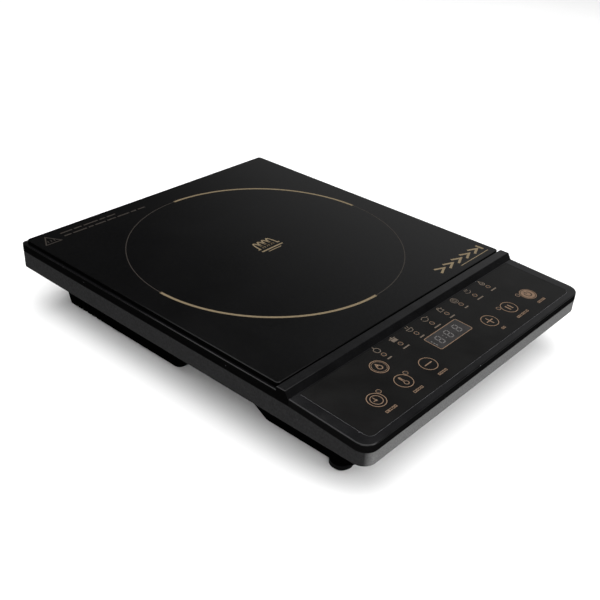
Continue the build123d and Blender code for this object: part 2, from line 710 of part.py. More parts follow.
def fan_frame():
    """Square duct with a motor cup on three arms."""
    z1 = FAN_BASE_Z + FAN_HEIGHT
    half = FAN_SIZE / 2
    frame = block(FAN_X - half, FAN_Y - half, FAN_BASE_Z, FAN_X + half, FAN_Y + half, z1)
    frame = fillet(frame.edges().filter_by(Axis.Z), 4)
    frame -= rod(FAN_X, FAN_Y, 0, TALL, FAN_DUCT_RADIUS)
    cup = rod(FAN_X, FAN_Y, z1 - 2, z1, HUB_RADIUS)
    cup += rod(FAN_X, FAN_Y, z1 - 12, z1 - 1, 4.0)
    cup -= rod(FAN_X, FAN_Y, z1 - 13, z1 - 3, 3.0)
    arm = Pos(25, 0, 0) * Box(30, 4, 2)
    for angle in (90, 210, 330):
        cup += Pos(FAN_X, FAN_Y, z1 - 1) * Rot(0, 0, angle) * arm
    frame += cup
    for x, y in fan_holes():
        frame -= rod(x, y, 0, TALL, SCREW_RADIUS + SCREW_CLEARANCE)
    return frame


def fan_bearing():
    """Sleeve pressed in the motor cup."""
    z1 = FAN_BASE_Z + FAN_HEIGHT - 3
    sleeve = rod(FAN_X, FAN_Y, z1 - 9, z1, 3.0)
    return sleeve - rod(FAN_X, FAN_Y, 0, TALL, SHAFT_RADIUS + BEARING_CLEARANCE)


def fan_stator():
    """Wound poles around the bearing tube."""
    z1 = FAN_BASE_Z + FAN_HEIGHT - 2
    stator = rod(FAN_X, FAN_Y, z1 - 8, z1, 6.0)
    for i in range(4):
        stator += Pos(FAN_X, FAN_Y, z1 - 4) * Rot(0, 0, 90 * i) * Pos(6.5, 0) * Box(7, 5, 7)
    return stator - rod(FAN_X, FAN_Y, 0, TALL, 4.0)


def fan_shaft():
    z1 = FAN_BASE_Z + FAN_HEIGHT - 3.4
    return rod(FAN_X, FAN_Y, FAN_BASE_Z + 3.0, z1, SHAFT_RADIUS)


def fan_impeller():
    """Hub shell over the stator and seven twisted blades."""
    z0 = FAN_BASE_Z + 2.0
    z1 = FAN_BASE_Z + FAN_HEIGHT - 3.0
    hub = rod(FAN_X, FAN_Y, z0, z1, HUB_RADIUS)
    hub -= rod(FAN_X, FAN_Y, z0 + 3.2, z1 + 1, HUB_RADIUS - 2)
    hub += rod(FAN_X, FAN_Y, z0 + 2, z0 + 5.0, 3.0)
    hub -= rod(FAN_X, FAN_Y, z0 + 1.0, z1, SHAFT_RADIUS)
    span = BLADE_TIP_RADIUS - HUB_RADIUS
    blade = Pos(HUB_RADIUS + span / 2 - 0.4, 0, 0) * Rot(38, 0, 0) * Box(span, 17, 1.6)
    sweep_space = Cylinder(BLADE_TIP_RADIUS, z1 - z0) - Cylinder(HUB_RADIUS - 1, TALL)
    centre = Pos(FAN_X, FAN_Y, (z0 + z1) / 2)
    for i in range(BLADE_COUNT):
        hub += centre * ((Rot(0, 0, 360 / BLADE_COUNT * i) * blade) & sweep_space)
    return hub


def fan_screws():
    head_z = FAN_BASE_Z + FAN_HEIGHT
    return Compound([screw(x, y, head_z, FLOOR_Z + 0.4) for x, y in fan_holes()])


# ---- control electronics ------------------------------------------------------------------
def control_board_holes():
    left, front, right, rear = CONTROL_BOARD
    return [(x, COVER_REAR_Y + y) for x in (left + 5, right - 5) for y in (rear - 5, front + 18)]


def control_post(x, y):
    """A post from the lower case that stops under the control board."""
    in_block = y < FRONT_BLOCK[3][0] - 14 and y > FRONT_BLOCK[0][0] + 6
    base = FLOOR_Z if in_block else DECK_TOP_Z
    post = rod(x, y, base - 0.5, TOTAL_HEIGHT, 3.0) & panel_wedge(CONTROL_BOARD_DEPTH)
    return post - rod(x, y, 38.0, TALL, SCREW_RADIUS)


def control_board():
    left, front, right, rear = CONTROL_BOARD
    board = block(left, front, -CONTROL_BOARD_DEPTH, right, rear, CONTROL_BOARD_TOP)
    board = PANEL * board
    for x, y in control_board_holes():
        board -= rod(x, y, 0, TALL, SCREW_RADIUS + 0.2)
    return board


def control_screws():
    screws = []
    for x, y in control_board_holes():
        head_z = PANEL_REAR_Z + PANEL_SLOPE * (y - COVER_REAR_Y) + CONTROL_BOARD_TOP
        screws.append(screw(x, y, head_z + 0.2, 38.5))
    return Compound(screws)


def tact_switches():
    body = Pos(0, 0, CONTROL_BOARD_TOP + 1.75) * Box(6, 6, 3.5)
    button = Pos(0, 0, CONTROL_BOARD_TOP + 3.5 + 0.4) * Cylinder(1.6, 0.8)
    return Compound([PANEL * place * (body + button) for place in key_positions()])


def status_leds():
    lamp = Pos(0, 0, CONTROL_BOARD_TOP + 2) * Cylinder(1.5, 4)
    return Compound([PANEL * place * lamp for place in lamp_positions()])


def display_module():
    """Three-digit display block standing on the board under the window."""
    height = 5.6
    return PANEL * Pos(DISPLAY_X, DISPLAY_ROW, CONTROL_BOARD_TOP + height / 2) * Box(38, 13, height)


def led_shroud():
    """Opaque comb that keeps the light of neighbouring lamps apart."""
    middle = LAMP_FIRST_X + LAMP_PITCH * (LAMP_COUNT - 1) / 2
    height = 4.6
    comb = Pos(middle, LAMP_ROW, CONTROL_BOARD_TOP + height / 2) * Box(152, 7, height)
    for place in lamp_positions()[:LAMP_COUNT]:
        comb -= place * Cylinder(2.0, 60)
    return PANEL * comb


def ribbon_cable():
    """Flat cable from the power board over the deck to the control board."""
    thick = 0.8
    run_z = DECK_TOP_Z + 0.4
    upper = [(5.0, BOARD_TOP), (5.0, 32.0), (-9.0, run_z + thick), (-108.0, run_z + thick),
             (-127.0, 42.9)]
    lower = [(-127.0, 42.9 - thick), (-108.0, run_z), (-9.4, run_z), (5.0 - thick, 31.6),
             (5.0 - thick, BOARD_TOP)]
    return Pos(-30, 0, 0) * side_prism(upper + lower, 8)


# ---- the whole assembly -------------------------------------------------------------------
def assembly():
    nodes = {
        "glass_plate": glass_plate(),
        "glass_seal": glass_seal(),
        "glass_frame": glass_frame(),
        "divider_bar": divider_bar(),
        "control_cover": control_cover(),
        "control_film": control_film(),
        "display_window": display_window(),
        "led_lenses": led_lenses(),
        "lower_housing": lower_housing(),
        "case_screws": case_screws(),
        "cord_gland": cord_gland(),
        "cord_clamp": cord_clamp(),
        "rating_plate": rating_plate(),
        "insulation_sheet": insulation_sheet(),
        "coil_winding": coil_winding(),
        "coil_former": coil_former(),
        "ferrite_bars": ferrite_bars(),
        "coil_screws": coil_screws(),
        "thermistor_holder": thermistor_holder(),
        "thermistor": thermistor(),
        "thermal_cutout": thermal_cutout(),
        "main_board": main_board(),
        "board_screws": board_screws(),
        "heatsink": heatsink(),
        "power_transistor": transistor(),
        "bridge_rectifier": bridge_rectifier(),
        "resonant_capacitor": resonant_capacitor(),
        "filter_capacitor": filter_capacitor(),
        "choke_coil": choke_coil(),
        "fuse": fuse(),
        "transformer": transformer(),
        "terminal_posts": terminal_posts(),
        "fan_frame": fan_frame(),
        "fan_bearing": fan_bearing(),
        "fan_stator": fan_stator(),
        "fan_shaft": fan_shaft(),
        "fan_impeller": fan_impeller(),
        "fan_screws": fan_screws(),
        "control_board": control_board(),
        "control_screws": control_screws(),
        "tact_switches": tact_switches(),
        "status_leds": status_leds(),
        "display_module": display_module(),
        "led_shroud": led_shroud(),
        "ribbon_cable": ribbon_cable(),
    }
    for name, (x, y) in FEET.items():
        nodes[name] = foot(x, y)
    for name, (x, y) in KEYS.items():
        nodes[name] = key(x, y)
    return nodes


def main():
    os.makedirs("parts", exist_ok=True)
    for name, shape in assembly().items():
        export_step(shape, f"parts/{name}.step")
        print(name, round(shape.volume), "mm3")


main()
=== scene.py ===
"""Looks of a portable induction cooktop: materials, printed marks and display, around the CAD frame.

Everything is in metres in the frame of the CAD model; printed marks are drawn in millimetres on
the glass or on the sloped panel and carried there by a placement matrix.
"""

import json
from math import cos, pi, radians, sin

import bmesh
import bpy
from mathutils import Matrix, Vector


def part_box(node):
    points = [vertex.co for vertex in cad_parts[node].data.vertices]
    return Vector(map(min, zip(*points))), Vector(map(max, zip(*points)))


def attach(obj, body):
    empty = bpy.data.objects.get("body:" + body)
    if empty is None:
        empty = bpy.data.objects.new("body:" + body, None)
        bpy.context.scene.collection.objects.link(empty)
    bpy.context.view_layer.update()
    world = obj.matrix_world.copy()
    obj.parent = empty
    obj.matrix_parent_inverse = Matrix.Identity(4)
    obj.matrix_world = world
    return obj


MM = 0.001

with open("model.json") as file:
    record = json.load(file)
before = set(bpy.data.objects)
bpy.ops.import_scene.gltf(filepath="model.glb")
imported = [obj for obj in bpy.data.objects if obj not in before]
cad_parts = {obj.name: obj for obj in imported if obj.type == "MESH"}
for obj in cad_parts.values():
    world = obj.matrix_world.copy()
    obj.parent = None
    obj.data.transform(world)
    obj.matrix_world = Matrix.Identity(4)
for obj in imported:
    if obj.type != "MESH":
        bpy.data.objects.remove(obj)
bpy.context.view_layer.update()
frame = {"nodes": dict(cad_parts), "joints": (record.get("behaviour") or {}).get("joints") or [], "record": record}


# ---- camera, floor and lights -------------------------------------------------------------
CAMERA_PLACE = Vector((-0.5000, -0.4234, 0.4067))
CAMERA_TARGET = Vector((-0.0486, -0.0448, 0.0600))
CAMERA_ROLL = radians(3.25)
CAMERA_LENS = 53.8
ROOM_DARK = 0.05
ROOM_BRIGHT = 0.52
BRIGHT_SIDE = (0.99, 0.15, 0.0)             # towards this side the room is bright
BRIGHT_FROM, BRIGHT_TO = 0.64, 0.92         # lean towards that side where the rise starts and ends

# name, place, aim, width, height and the brightness of the face
SOFTBOXES = (
    ("overhead_softbox", (-0.2, 0.0, 2.0), (-0.2, 0.0, 0.0), 3.4, 3.6, 2.7),
    ("camera_side_fill", (-1.2, -1.1, 0.7), (0.0, 0.0, 0.0), 1.4, 0.8, 4.2),
    ("front_softbox", (0.25, -1.5, 1.1), (0.0, 0.0, 0.0), 0.9, 0.9, 4.8),
)


def aim(place, target, roll=0.0):
    """Rotation that points -Z from place to target, rolled about the line of sight."""
    turn = (target - place).to_track_quat("-Z", "Y").to_matrix().to_4x4()
    return Matrix.Translation(place) @ turn @ Matrix.Rotation(roll, 4, "Z")


def make_camera():
    camera = bpy.data.objects.new("camera", bpy.data.cameras.new("camera"))
    bpy.context.scene.collection.objects.link(camera)
    camera.data.lens = CAMERA_LENS
    camera.data.clip_start = 0.01
    camera.matrix_world = aim(CAMERA_PLACE, CAMERA_TARGET, CAMERA_ROLL)
    bpy.context.scene.camera = camera


def softbox(name, place, target, width, height, radiance):
    """A rectangular area light; its power follows from the brightness of its face."""
    data = bpy.data.lights.new(name, "AREA")
    data.shape = "RECTANGLE"
    data.size = width
    data.size_y = height
    data.energy = radiance * pi * width * height
    light = bpy.data.objects.new(name, data)
    bpy.context.scene.collection.objects.link(light)
    light.matrix_world = aim(Vector(place), Vector(target))


def make_world():
    """Dim surroundings that grow brighter towards the right side of the room."""
    world = bpy.data.worlds.new("room")
    bpy.context.scene.world = world
    world.use_nodes = True
    nodes, links = world.node_tree.nodes, world.node_tree.links
    coordinates = nodes.new("ShaderNodeTexCoord")
    side = nodes.new("ShaderNodeVectorMath")
    side.operation = "DOT_PRODUCT"
    side.inputs[1].default_value = BRIGHT_SIDE
    ramp = nodes.new("ShaderNodeMapRange")
    ramp.interpolation_type = "SMOOTHSTEP"
    ramp.inputs["From Min"].default_value = BRIGHT_FROM
    ramp.inputs["From Max"].default_value = BRIGHT_TO
    ramp.inputs["To Min"].default_value = ROOM_DARK
    ramp.inputs["To Max"].default_value = ROOM_BRIGHT
    background = nodes["Background"]
    background.inputs["Color"].default_value = (1.0, 1.0, 1.0, 1.0)
    links.new(coordinates.outputs["Generated"], side.inputs[0])
    links.new(side.outputs["Value"], ramp.inputs["Value"])
    links.new(ramp.outputs["Result"], background.inputs["Strength"])


def make_lights():
    for name, place, target, width, height, radiance in SOFTBOXES:
        softbox(name, place, target, width, height, radiance)


# ---- materials ----------------------------------------------------------------------------
WALL_TURN = (0.45, 0.25)    # upward lean of the normal, middle and half width, where walls become tops
FRONT_TURN = (-0.8, 0.17)   # the same for surfaces that turn to the user, where the painted front light starts


class Finish:
    """A Principled material that is given its variation one layer at a time."""

    def __init__(self, name, colour, roughness, specular=0.5, metallic=0.0):
        self.material = bpy.data.materials.new(name)
        self.material.use_nodes = True
        self.nodes = self.material.node_tree.nodes
        self.links = self.material.node_tree.links
        self.shader = self.nodes["Principled BSDF"]
        self.shader.inputs["Base Color"].default_value = (*colour, 1.0)
        self.shader.inputs["Roughness"].default_value = roughness
        self.shader.inputs["Specular IOR Level"].default_value = specular
        self.shader.inputs["Metallic"].default_value = metallic
        self.colour = colour
        self.roughness = roughness
        self.place = self.nodes.new("ShaderNodeTexCoord").outputs["Object"]

    def noise(self, size_mm, detail=4.0):
        """A noise pattern with features of about the given size."""
        texture = self.nodes.new("ShaderNodeTexNoise")
        texture.inputs["Scale"].default_value = 1.0 / (size_mm * MM)
        texture.inputs["Detail"].default_value = detail
        self.links.new(self.place, texture.inputs["Vector"])
        return texture.outputs["Fac"]

    def spread(self, value, low, high, middle=0.5, width=0.2):
        """Maps the middle of a pattern's range onto low to high."""
        node = self.nodes.new("ShaderNodeMapRange")
        node.inputs["From Min"].default_value = middle - width
        node.inputs["From Max"].default_value = middle + width
        node.inputs["To Min"].default_value = low
        node.inputs["To Max"].default_value = high
        self.links.new(value, node.inputs["Value"])
        return node.outputs["Result"]

    def mix(self, factor, first, second):
        """Blend of two colours or colour sockets by a factor socket."""
        node = self.nodes.new("ShaderNodeMix")
        node.data_type = "RGBA"
        for socket, value in ((node.inputs[6], first), (node.inputs[7], second)):
            if isinstance(value, tuple):
                socket.default_value = (*value, 1.0)
            else:
                self.links.new(value, socket)
        self.links.new(factor, node.inputs[0])
        return node.outputs[2]

    def mottle(self, size_mm, amount):
        """Slow drift of the base colour between a darker and a lighter shade."""
        dark = tuple(c * (1.0 - amount) for c in self.colour)
        light = tuple(c * (1.0 + amount) for c in self.colour)
        drift = self.spread(self.noise(size_mm), 0.0, 1.0)
        self.links.new(self.mix(drift, dark, light), self.shader.inputs["Base Color"])
        return self

    def uneven_gloss(self, size_mm, amount):
        """Patches that are a little glossier or duller, as handled surfaces are."""
        low, high = self.roughness - amount, self.roughness + amount
        patches = self.spread(self.noise(size_mm), low, high)
        self.links.new(patches, self.shader.inputs["Roughness"])
        return self

    def grain(self, size_mm, depth_mm, strength=1.0):
        """Fine surface relief."""
        bump = self.nodes.new("ShaderNodeBump")
        bump.inputs["Strength"].default_value = strength
        bump.inputs["Distance"].default_value = depth_mm * MM
        self.links.new(self.noise(size_mm, 2.0), bump.inputs["Height"])
        self.links.new(bump.outputs["Normal"], self.shader.inputs["Normal"])
        return self

    def speckled(self, value, size_mm, amount):
        """A value socket multiplied by fine noise, so that the shine is not quite even."""
        times = self.nodes.new("ShaderNodeMath")
        times.operation = "MULTIPLY"
        self.links.new(value, times.inputs[0])
        self.links.new(self.spread(self.noise(size_mm), 1.0 - amount, 1.0 + amount), times.inputs[1])
        return times.outputs["Value"]

    def painted_wall_shade(self, wall_specular, top_specular, wall_shade):
        """Painted shade and less reflection on upright walls: a darker base colour and lower shine than on the
        polished top faces, set by the lean of the normal.
        """
        split = self.nodes.new("ShaderNodeSeparateXYZ")
        self.links.new(self.nodes["Texture Coordinate"].outputs["Normal"], split.inputs[0])
        shine = self.spread(split.outputs["Z"], wall_specular, top_specular, *WALL_TURN)
        self.links.new(self.speckled(shine, 1.3, 0.16), self.shader.inputs["Specular IOR Level"])
        upward = self.spread(split.outputs["Z"], 0.0, 1.0, *WALL_TURN)
        mixed = self.mix(upward, (wall_shade,) * 3, self.under_colour())
        self.links.new(mixed, self.shader.inputs["Base Color"])
        return self

    def under_colour(self):
        """What feeds the base colour so far."""
        socket = self.shader.inputs["Base Color"]
        return socket.links[0].from_socket if socket.is_linked else self.colour

    def painted_front_light(self, shade):
        """Painted light: surfaces that face the user are a lighter grey, standing in for light from the front."""
        split = self.nodes.new("ShaderNodeSeparateXYZ")
        self.links.new(self.nodes["Texture Coordinate"].outputs["Normal"], split.inputs[0])
        front = self.spread(split.outputs["Y"], 1.0, 0.0, *FRONT_TURN)
        flecks = self.spread(self.noise(0.9), 0.0, 1.0)
        flecked = self.mix(flecks, (shade * 0.75,) * 3, (shade * 1.2,) * 3)
        mixed = self.mix(front, self.under_colour(), flecked)
        self.links.new(mixed, self.shader.inputs["Base Color"])
        return self

    def painted_shade_below(self, height_mm, shade):
        """Painted shade: everything lower than the given height is deep black and dull, standing in for the shade
        under the case.
        """
        split = self.nodes.new("ShaderNodeSeparateXYZ")
        self.links.new(self.place, split.inputs[0])
        level, blend = height_mm * MM, 0.3 * MM
        above = self.spread(split.outputs["Z"], 0.0, 1.0, level, blend)
        mixed = self.mix(above, (shade,) * 3, self.under_colour())
        self.links.new(mixed, self.shader.inputs["Base Color"])
        socket = self.shader.inputs["Specular IOR Level"]
        shine = self.spread(above, 0.0, socket.default_value, 0.5, 0.5)
        self.links.new(self.speckled(shine, 2.6, 0.45), socket)
        return self

    def specks(self, spacing_mm, radius_mm, colour):
        """Scattered dust specks or flecks over the base colour."""
        cells = self.nodes.new("ShaderNodeTexVoronoi")
        cells.inputs["Scale"].default_value = 1.0 / (spacing_mm * MM)
        self.links.new(self.place, cells.inputs["Vector"])
        reach = radius_mm / spacing_mm
        spot = self.spread(cells.outputs["Distance"], 1.0, 0.0, reach, reach * 0.4)
        self.links.new(self.mix(spot, self.under_colour(), colour), self.shader.inputs["Base Color"])
        return self


# below this height the lower case gets painted shade
DECK_TOP = 34.0             # millimetres; the band around the lower case lies above this


def slot_materials():
    """One finish for each material slot of the CAD model."""
    dust = (0.16, 0.16, 0.17)
    return {
        # black_glass, case_gloss and panel_gloss get painted shade and less reflection on their upright walls
        "black_glass": Finish("black_glass", (0.0014, 0.0014, 0.0015), 0.15)
        .mottle(3, 0.35).uneven_gloss(60, 0.03).grain(0.5, 0.002).painted_wall_shade(0.0, 0.15, 0.0008)
        .specks(9, 0.12, (0.02, 0.02, 0.02)),
        "case_gloss": Finish("case_gloss", (0.0040, 0.0040, 0.0043), 0.13)
        .mottle(14, 0.3).uneven_gloss(25, 0.04).grain(1.5, 0.003).painted_wall_shade(0.0, 0.22, 0.0016)
        .specks(8, 0.25, dust),
        "panel_gloss": Finish("panel_gloss", (0.0038, 0.0038, 0.0042), 0.13)
        .mottle(14, 0.3).uneven_gloss(25, 0.05).grain(1.2, 0.003).painted_wall_shade(0.0, 0.22, 0.0026)
        .specks(8, 0.3, dust),
        "panel_film": Finish("panel_film", (0.0038, 0.0037, 0.0036), 0.2, 0.095)
        .mottle(20, 0.25).uneven_gloss(30, 0.04).grain(0.35, 0.003).specks(11, 0.13, dust),
        "key_cap": Finish("key_cap", (0.0038, 0.0037, 0.0036), 0.2, 0.095)
        .mottle(20, 0.25).uneven_gloss(30, 0.04).grain(0.35, 0.003),
        "smoked_window": Finish("smoked_window", (0.017, 0.016, 0.016), 0.16, 0.22)
        .mottle(9, 0.25).uneven_gloss(12, 0.04),
        "clear_lens": Finish("clear_lens", (0.009, 0.008, 0.0075), 0.2, 0.2)
        .mottle(1, 0.2).uneven_gloss(2, 0.05),
        # case_matte gets painted light on faces that turn to the user and painted shade below DECK_TOP
        "case_matte": Finish("case_matte", (0.0150, 0.0150, 0.0153), 0.5, 0.004)
        .mottle(1.3, 0.2).uneven_gloss(9, 0.07).grain(0.45, 0.03).painted_front_light(0.107)
        .painted_shade_below(DECK_TOP, 0.0007).specks(12, 0.25, dust),
        "steel": Finish("steel", (0.52, 0.52, 0.53), 0.32, metallic=1.0)
        .mottle(2, 0.2).uneven_gloss(2, 0.1).grain(0.3, 0.004),
        "gland_plastic": Finish("gland_plastic", (0.006, 0.006, 0.006), 0.5, 0.25)
        .mottle(3, 0.3).grain(0.5, 0.02),
        "inner_plastic": Finish("inner_plastic", (0.012, 0.012, 0.012), 0.5, 0.3)
        .mottle(5, 0.3).grain(0.5, 0.02),
        "fan_plastic": Finish("fan_plastic", (0.012, 0.012, 0.013), 0.42, 0.3)
        .mottle(6, 0.3).grain(0.5, 0.01),
        "label_metal": Finish("label_metal", (0.46, 0.47, 0.48), 0.38, metallic=0.9)
        .mottle(6, 0.12).uneven_gloss(4, 0.08).grain(0.25, 0.003),
        "silicone": Finish("silicone", (0.5, 0.5, 0.47), 0.6).mottle(4, 0.15).grain(0.6, 0.01),
        "mica": Finish("mica", (0.6, 0.52, 0.38), 0.4).mottle(8, 0.3).grain(1.5, 0.02),
        "copper": Finish("copper", (0.48, 0.2, 0.09), 0.35, metallic=1.0)
        .mottle(2, 0.3).grain(0.4, 0.03),
        "ferrite": Finish("ferrite", (0.045, 0.045, 0.05), 0.55).mottle(3, 0.4).grain(0.4, 0.02),
        "circuit_board": Finish("circuit_board", (0.015, 0.1, 0.04), 0.35)
        .mottle(3, 0.3).grain(0.8, 0.01),
        "aluminium": Finish("aluminium", (0.68, 0.69, 0.7), 0.35, metallic=1.0)
        .mottle(4, 0.12).grain(0.4, 0.01),
        "capacitor": Finish("capacitor", (0.5, 0.28, 0.05), 0.35).mottle(5, 0.15).grain(0.8, 0.01),
        "brass": Finish("brass", (0.6, 0.45, 0.2), 0.3, metallic=1.0).mottle(2, 0.2).grain(0.3, 0.01),
        "ribbon": Finish("ribbon", (0.45, 0.45, 0.48), 0.5).mottle(3, 0.2).grain(0.8, 0.02),
        "rubber": Finish("rubber", (0.0009, 0.0009, 0.001), 0.6, 0.04)
        .mottle(2, 0.4).grain(0.4, 0.03),
    }


def dress_cad():
    """Gives every CAD node the finish of its slot."""
    finishes = slot_materials()
    for entry in frame["record"]["subparts"]:
        node = frame["nodes"][entry["node"]]
        for holder in node.material_slots:
            holder.material = finishes[entry["material_slot"]].material


def print_inks():
    """Inks of the printed marks: thin, slightly rough and not quite even."""
    return {
        "gold": Finish("gold_ink", (0.135, 0.103, 0.060), 0.45, 0.2).mottle(2, 0.12).grain(0.3, 0.004),
        "tan": Finish("tan_ink", (0.018, 0.0145, 0.0115), 0.5, 0.15).mottle(2, 0.15).grain(0.3, 0.004),
        "copper": Finish("copper_ink", (0.138, 0.088, 0.056), 0.42, 0.2)
        .mottle(1.5, 0.12).grain(0.3, 0.004),
        "dark": Finish("dark_ink", (0.008, 0.005, 0.004), 0.4, 0.1).mottle(1.5, 0.15).grain(0.3, 0.004),
        "icon": Finish("icon_ink", (0.085, 0.066, 0.05), 0.45, 0.2).mottle(1.5, 0.15).grain(0.3, 0.004),
        # edge is no ink but a painted highlight along the film's bevel
        "edge": Finish("painted_bevel_highlight", (0.075, 0.075, 0.08), 0.35, 0.4).mottle(4, 0.6).grain(0.3, 0.004),
        "segment": Finish("segment_plastic", (0.085, 0.08, 0.078), 0.5, 0.2)
        .mottle(1.5, 0.1).grain(0.3, 0.004),
    }


# ---- flat drawing -------------------------------------------------------------------------
INK_HEIGHT = 0.025          # millimetres above the surface
INK_ROOT = 0.015            # millimetres into the surface
CHORD_MM = 0.6              # longest straight step of a drawn curve


def line(points, width, closed=False):
    return {"points": [Vector(p) for p in points], "width": width, "closed": closed}


def plate(points):
    return {"points": [Vector(p) for p in points]}


def arc_points(x, y, radius, start, end):
    steps = max(10, int(radians(abs(end - start)) * radius / CHORD_MM))
    angles = [radians(start + (end - start) * i / steps) for i in range(steps + 1)]
    return [(x + radius * cos(a), y + radius * sin(a)) for a in angles]


def arc(x, y, radius, start, end, width):
    return line(arc_points(x, y, radius, start, end), width)


def ring(x, y, radius, width):
    return line(arc_points(x, y, radius, 0, 360)[:-1], width, closed=True)


def disc(x, y, radius):
    return plate(arc_points(x, y, radius, 0, 360)[:-1])


def round_frame(x, y, width, height, radius, stroke):
    """Outline of a rectangle with rounded corners."""
    w, h = width / 2 - radius, height / 2 - radius
    path = []
    for side, level, start in ((1, 1, 0), (-1, 1, 90), (-1, -1, 180), (1, -1, 270)):
        path += arc_points(x + side * w, y + level * h, radius, start, start + 90)
    return line(path, stroke, closed=True)


def bar(x, y, width, height, slant=0.0):
    """An upright rectangle about a centre, its top shifted sideways by slant."""
    w, h, s = width / 2, height / 2, slant / 2
    return plate([(x - w - s, y - h), (x + w - s, y - h), (x + w + s, y + h), (x - w + s, y + h)])


def shifted(shapes, x, y):
    return [{**shape, "points": [p + Vector((x, y)) for p in shape["points"]]} for shape in shapes]


def offsets(shape):
    """Left and right edge of a stroke, mitred at its corners."""
    points, closed = shape["points"], shape["closed"]
    count = len(points)
    left, right = [], []
    for i, point in enumerate(points):
        before = points[i - 1] if i or closed else None
        after = points[(i + 1) % count] if i < count - 1 or closed else None
        incoming = (point - before).normalized() if before is not None else None
        outgoing = (after - point).normalized() if after is not None else incoming
        incoming = incoming if incoming is not None else outgoing
        along = (incoming + outgoing).normalized()
        across = Vector((-along.y, along.x))
        stretch = max(0.4, across.dot(Vector((-incoming.y, incoming.x))))
        reach = across * (shape["width"] / 2 / stretch)
        left.append(point + reach)
        right.append(point - reach)
    return left, right


def add_stroke(mesh, shape, place):
    left, right = offsets(shape)
    sections = []
    for a, b in zip(left, right):
        corners = [(a, -INK_ROOT), (b, -INK_ROOT), (b, INK_HEIGHT), (a, INK_HEIGHT)]
        sections.append([mesh.verts.new(place @ Vector((p.x, p.y, z))) for p, z in corners])
    pairs = list(zip(sections, sections[1:]))
    if shape["closed"]:
        pairs.append((sections[-1], sections[0]))
    else:
        mesh.faces.new(sections[0])
        mesh.faces.new(reversed(sections[-1]))
    for one, two in pairs:
        for i in range(4):
            j = (i + 1) % 4
            mesh.faces.new((one[i], two[i], two[j], one[j]))


def add_plate(mesh, shape, place):
    low = [mesh.verts.new(place @ Vector((p.x, p.y, -INK_ROOT))) for p in shape["points"]]
    high = [mesh.verts.new(place @ Vector((p.x, p.y, INK_HEIGHT))) for p in shape["points"]]
    mesh.faces.new(high)
    mesh.faces.new(reversed(low))
    for i in range(len(low)):
        j = (i + 1) % len(low)
        mesh.faces.new((low[i], low[j], high[j], high[i]))


def draw(name, shapes, place, ink, body="root"):
    """Turns strokes and plates into one printed piece that rides on a body."""
    mesh = bmesh.new()
    for shape in shapes:
        add = add_stroke if "width" in shape else add_plate
        add(mesh, shape, place)
    bmesh.ops.recalc_face_normals(mesh, faces=mesh.faces)
    data = bpy.data.meshes.new(name)
    mesh.to_mesh(data)
    mesh.free()
    piece = bpy.data.objects.new(name, data)
    bpy.context.scene.collection.objects.link(piece)
    data.materials.append(INKS[ink].material)
    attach(piece, body)
    return piece


# ---- where the printed surfaces are -------------------------------------------------------
def middle(node):
    low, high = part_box(node)
    return (low + high) / 2


def glass_place():
    """Drawing plane on the glass, with its origin at the middle of the plate."""
    centre = middle("glass_plate")
    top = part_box("glass_plate")[1].z
    return Matrix.Translation((centre.x, centre.y, top)) @ Matrix.Scale(MM, 4)


def panel_place():
    """Drawing plane on the panel film, with its origin level with the row of keys."""
    press = next(j for j in frame["joints"] if j["name"] == "power_press")
    normal = -Vector(press["axis"]).normalized()
    film = frame["nodes"]["control_film"].data.vertices
    level = max(normal.dot(v.co) for v in film)
    along = normal.cross(Vector((1.0, 0.0, 0.0)))
    row = middle("key_power")
    origin = normal * level + along * along.dot(row)
    turn = Matrix((Vector((1.0, 0.0, 0.0)), along, normal)).transposed().to_4x4()
    return Matrix.Translation(origin) @ turn @ Matrix.Scale(MM, 4)


def on_panel(point):
    """Panel drawing coordinates of a point of the model."""
    local = PANEL.inverted() @ point
    return local.x, local.y


def lens_places():
    """Centres of the separate light pipes, found from the islands of their mesh."""
    mesh = bmesh.new()
    mesh.from_mesh(frame["nodes"]["led_lenses"].data)
    bmesh.ops.remove_doubles(mesh, verts=mesh.verts, dist=1e-6)
    waiting = set(mesh.verts)
    places = []
    while waiting:
        island, edge = set(), [waiting.pop()]
        while edge:
            vert = edge.pop()
            island.add(vert)
            near = {e.other_vert(vert) for e in vert.link_edges} & waiting
            waiting -= near
            edge.extend(near)
        total = sum((v.co for v in island), Vector())
        places.append(on_panel(total / len(island)))
    mesh.free()
    return sorted(places)


# ---- marks on the glass -------------------------------------------------------------------
PAN_RING = 117.3            # radius of the pan ring, millimetres
THIN = 0.75
THICK = 2.3


def pan_ring():
    """A circle drawn thin in two opposite quarters and thick in the other two."""
    overlap = 0.4
    thin = [arc(0, 0, PAN_RING, start - overlap, start + 90 + overlap, THIN) for start in (90, 270)]
    thick = [arc(0, 0, PAN_RING, start, start + 90, THICK) for start in (0, 180)]
    draw("pan_ring_thin", thin, GLASS, "tan")
    draw("pan_ring_thick", thick, GLASS, "gold")


def coil_mark():
    """Four loops of a coil with short straight ends, the usual sign for induction, over two rules."""
    loops, loop, stretch, base, reach = 4, 2.6, 4.2, -3.0, 12.5
    wave = [(-reach, 0.0)]
    for i in range(loops):
        wave += arc_points((i - (loops - 1) / 2) * 2 * loop, 0.0, loop, 180, 0)
    wave += [(reach, 0.0)]
    tall = [(x, base + y * stretch) for x, y in wave]
    marks = [line(tall, 1.5), bar(0, base - 4.0, 2 * reach, 1.6), bar(0, base - 7.0, 15, 1.0)]
    draw("coil_mark", marks, GLASS, "gold")


